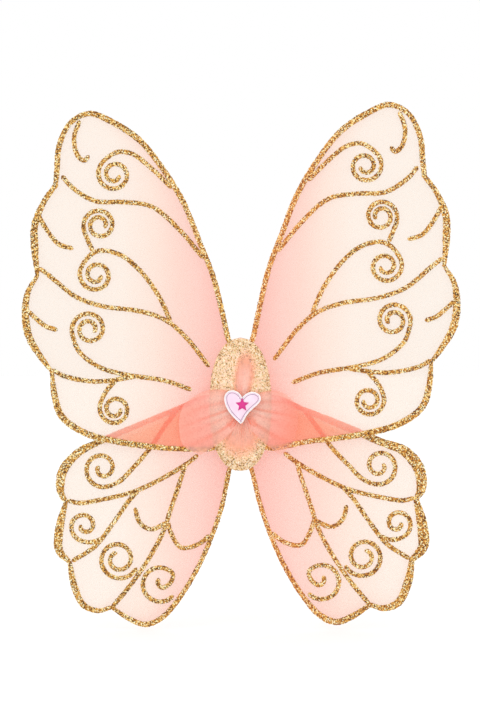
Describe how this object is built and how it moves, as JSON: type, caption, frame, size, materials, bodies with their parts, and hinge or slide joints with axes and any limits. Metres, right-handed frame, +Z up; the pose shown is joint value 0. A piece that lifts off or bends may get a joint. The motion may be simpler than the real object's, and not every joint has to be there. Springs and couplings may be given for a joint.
{
  "type": "costume fairy wings",
  "caption": "Sheer dress-up fairy wings on bent wire frames with glitter veins, a padded oval middle, a heart badge and elastic arm loops.",
  "frame": {"origin": "middle of the flat felt face that lies on the wearer's back", "axes": "+Z up the wearer's back, +Y out of the felt towards the wearer, +X to the right of the display side, which faces -Y"},
  "size_m": [0.3808, 0.1368, 0.4573],
  "materials": {
    "mesh": "satin",
    "glitter": "gloss",
    "wire": "satin",
    "cover": "satin",
    "foam": "matte",
    "board": "matte",
    "felt": "matte",
    "veil": "satin",
    "satin": "satin",
    "trim": "satin",
    "motif": "gloss",
    "webbing": "matte"
  },
  "bodies": {
    "pad": {"back_felt": "felt", "stiffener_board": "board", "foam_spacer": "foam", "foam_dome": "foam", "front_cover": "cover", "root_wire_upper_left": "wire", "root_wire_lower_left": "wire", "root_wire_upper_right": "wire", "root_wire_lower_right": "wire", "loop_end_top_left": "webbing", "loop_end_bottom_left": "webbing", "loop_end_top_right": "webbing", "loop_end_bottom_right": "webbing", "veil_gather": "veil", "badge_backing": "felt", "badge_edge": "trim", "badge_satin": "satin", "badge_motif": "motif"},
    "upper_wing_left": {"frame_wire_upper_left": "wire", "mesh_back_upper_left": "mesh", "mesh_front_upper_left": "mesh", "glitter_upper_left": "glitter", "veil_end_left": "veil"},
    "lower_wing_left": {"frame_wire_lower_left": "wire", "mesh_back_lower_left": "mesh", "mesh_front_lower_left": "mesh", "glitter_lower_left": "glitter", "coil_outer_left": "glitter", "coil_inner_left": "glitter"},
    "loop_left": {"arm_loop_left": "webbing"},
    "upper_wing_right": {"frame_wire_upper_right": "wire", "mesh_back_upper_right": "mesh", "mesh_front_upper_right": "mesh", "glitter_upper_right": "glitter", "veil_end_right": "veil"},
    "lower_wing_right": {"frame_wire_lower_right": "wire", "mesh_back_lower_right": "mesh", "mesh_front_lower_right": "mesh", "glitter_lower_right": "glitter", "coil_outer_right": "glitter", "coil_inner_right": "glitter"},
    "loop_right": {"arm_loop_right": "webbing"}
  },
  "joints": [
    {"name": "upper_fold_left", "type": "hinge", "parent": "pad", "child": "upper_wing_left", "pos_m": [-0.01736, -0.0125, 0.00978], "axis": [0.1381, 0, 0.9904], "range_deg": [-7, 28]},
    {"name": "lower_fold_left", "type": "hinge", "parent": "pad", "child": "lower_wing_left", "pos_m": [-0.02016, -0.0055, -0.02582], "axis": [-0.3022, 0, 0.9533], "range_deg": [-5.6, 22.4]},
    {"name": "loop_swing_left", "type": "hinge", "parent": "pad", "child": "loop_left", "pos_m": [-0.013, 0.006, 0], "axis": [0, 0, 1], "range_deg": [-3, 70]},
    {"name": "upper_fold_right", "type": "hinge", "parent": "pad", "child": "upper_wing_right", "pos_m": [0.01736, -0.0125, 0.00978], "axis": [0.1381, 0, -0.9904], "range_deg": [-7, 28]},
    {"name": "lower_fold_right", "type": "hinge", "parent": "pad", "child": "lower_wing_right", "pos_m": [0.02016, -0.0055, -0.02582], "axis": [-0.3022, 0, -0.9533], "range_deg": [-5.6, 22.4]},
    {"name": "loop_swing_right", "type": "hinge", "parent": "pad", "child": "loop_right", "pos_m": [0.013, 0.006, 0], "axis": [0, 0, -1], "range_deg": [-3, 70]}
  ],
  "couplings": [
    {"joint": "lower_fold_left", "follows": "upper_fold_left", "ratio": 0.8},
    {"joint": "lower_fold_right", "follows": "upper_fold_right", "ratio": 0.8}
  ]
}
